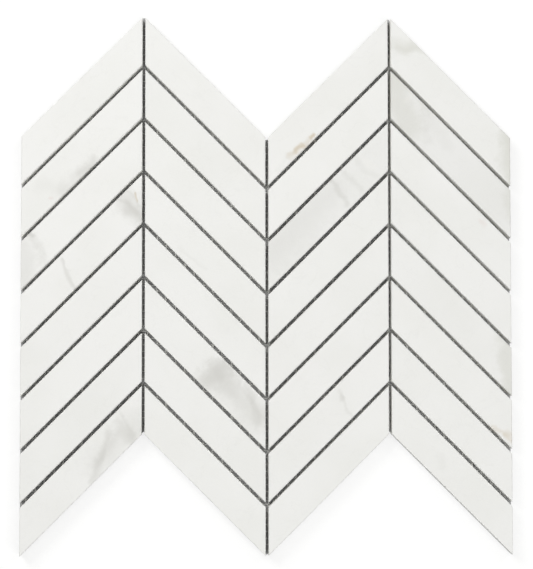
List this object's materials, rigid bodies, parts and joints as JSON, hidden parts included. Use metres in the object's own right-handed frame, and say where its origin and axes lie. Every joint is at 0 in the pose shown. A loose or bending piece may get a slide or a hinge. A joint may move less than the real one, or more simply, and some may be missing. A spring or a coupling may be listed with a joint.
{
  "type": "chevron marble mosaic sheet",
  "caption": "Flat mosaic sheet of white marble slats mitred into chevrons, with open joints, on a glass-fibre net; peaks and notches interlock with the next sheet.",
  "frame": {"origin": "middle of the sheet, on the underside of the net", "axes": "+Z out of the slats' faces, +Y towards the peaks of the chevrons, +X to the right seen from the face"},
  "size_m": [0.2942, 0.3228, 0.0099],
  "materials": {
    "marble": "polished white marble with soft grey veins, sawn edges and back",
    "net": "resin-coated white glass-fibre yarn"
  },
  "bodies": {
    "root": {"slat_col1_row1": "marble", "slat_col1_row2": "marble", "slat_col1_row3": "marble", "slat_col1_row4": "marble", "slat_col1_row5": "marble", "slat_col1_row6": "marble", "slat_col1_row7": "marble", "slat_col1_row8": "marble", "slat_col2_row1": "marble", "slat_col2_row2": "marble", "slat_col2_row3": "marble", "slat_col2_row4": "marble", "slat_col2_row5": "marble", "slat_col2_row6": "marble", "slat_col2_row7": "marble", "slat_col2_row8": "marble", "slat_col3_row1": "marble", "slat_col3_row2": "marble", "slat_col3_row3": "marble", "slat_col3_row4": "marble", "slat_col3_row5": "marble", "slat_col3_row6": "marble", "slat_col3_row7": "marble", "slat_col3_row8": "marble", "slat_col4_row1": "marble", "slat_col4_row2": "marble", "slat_col4_row3": "marble", "slat_col4_row4": "marble", "slat_col4_row5": "marble", "slat_col4_row6": "marble", "slat_col4_row7": "marble", "slat_col4_row8": "marble", "net_warps_col1": "net", "net_warps_col2": "net", "net_warps_col3": "net", "net_warps_col4": "net", "net_wefts_middle": "net", "net_wefts_left_peak": "net", "net_wefts_right_peak": "net", "net_wefts_left_foot": "net", "net_wefts_centre_foot": "net", "net_wefts_right_foot": "net"}
  },
  "joints": []
}
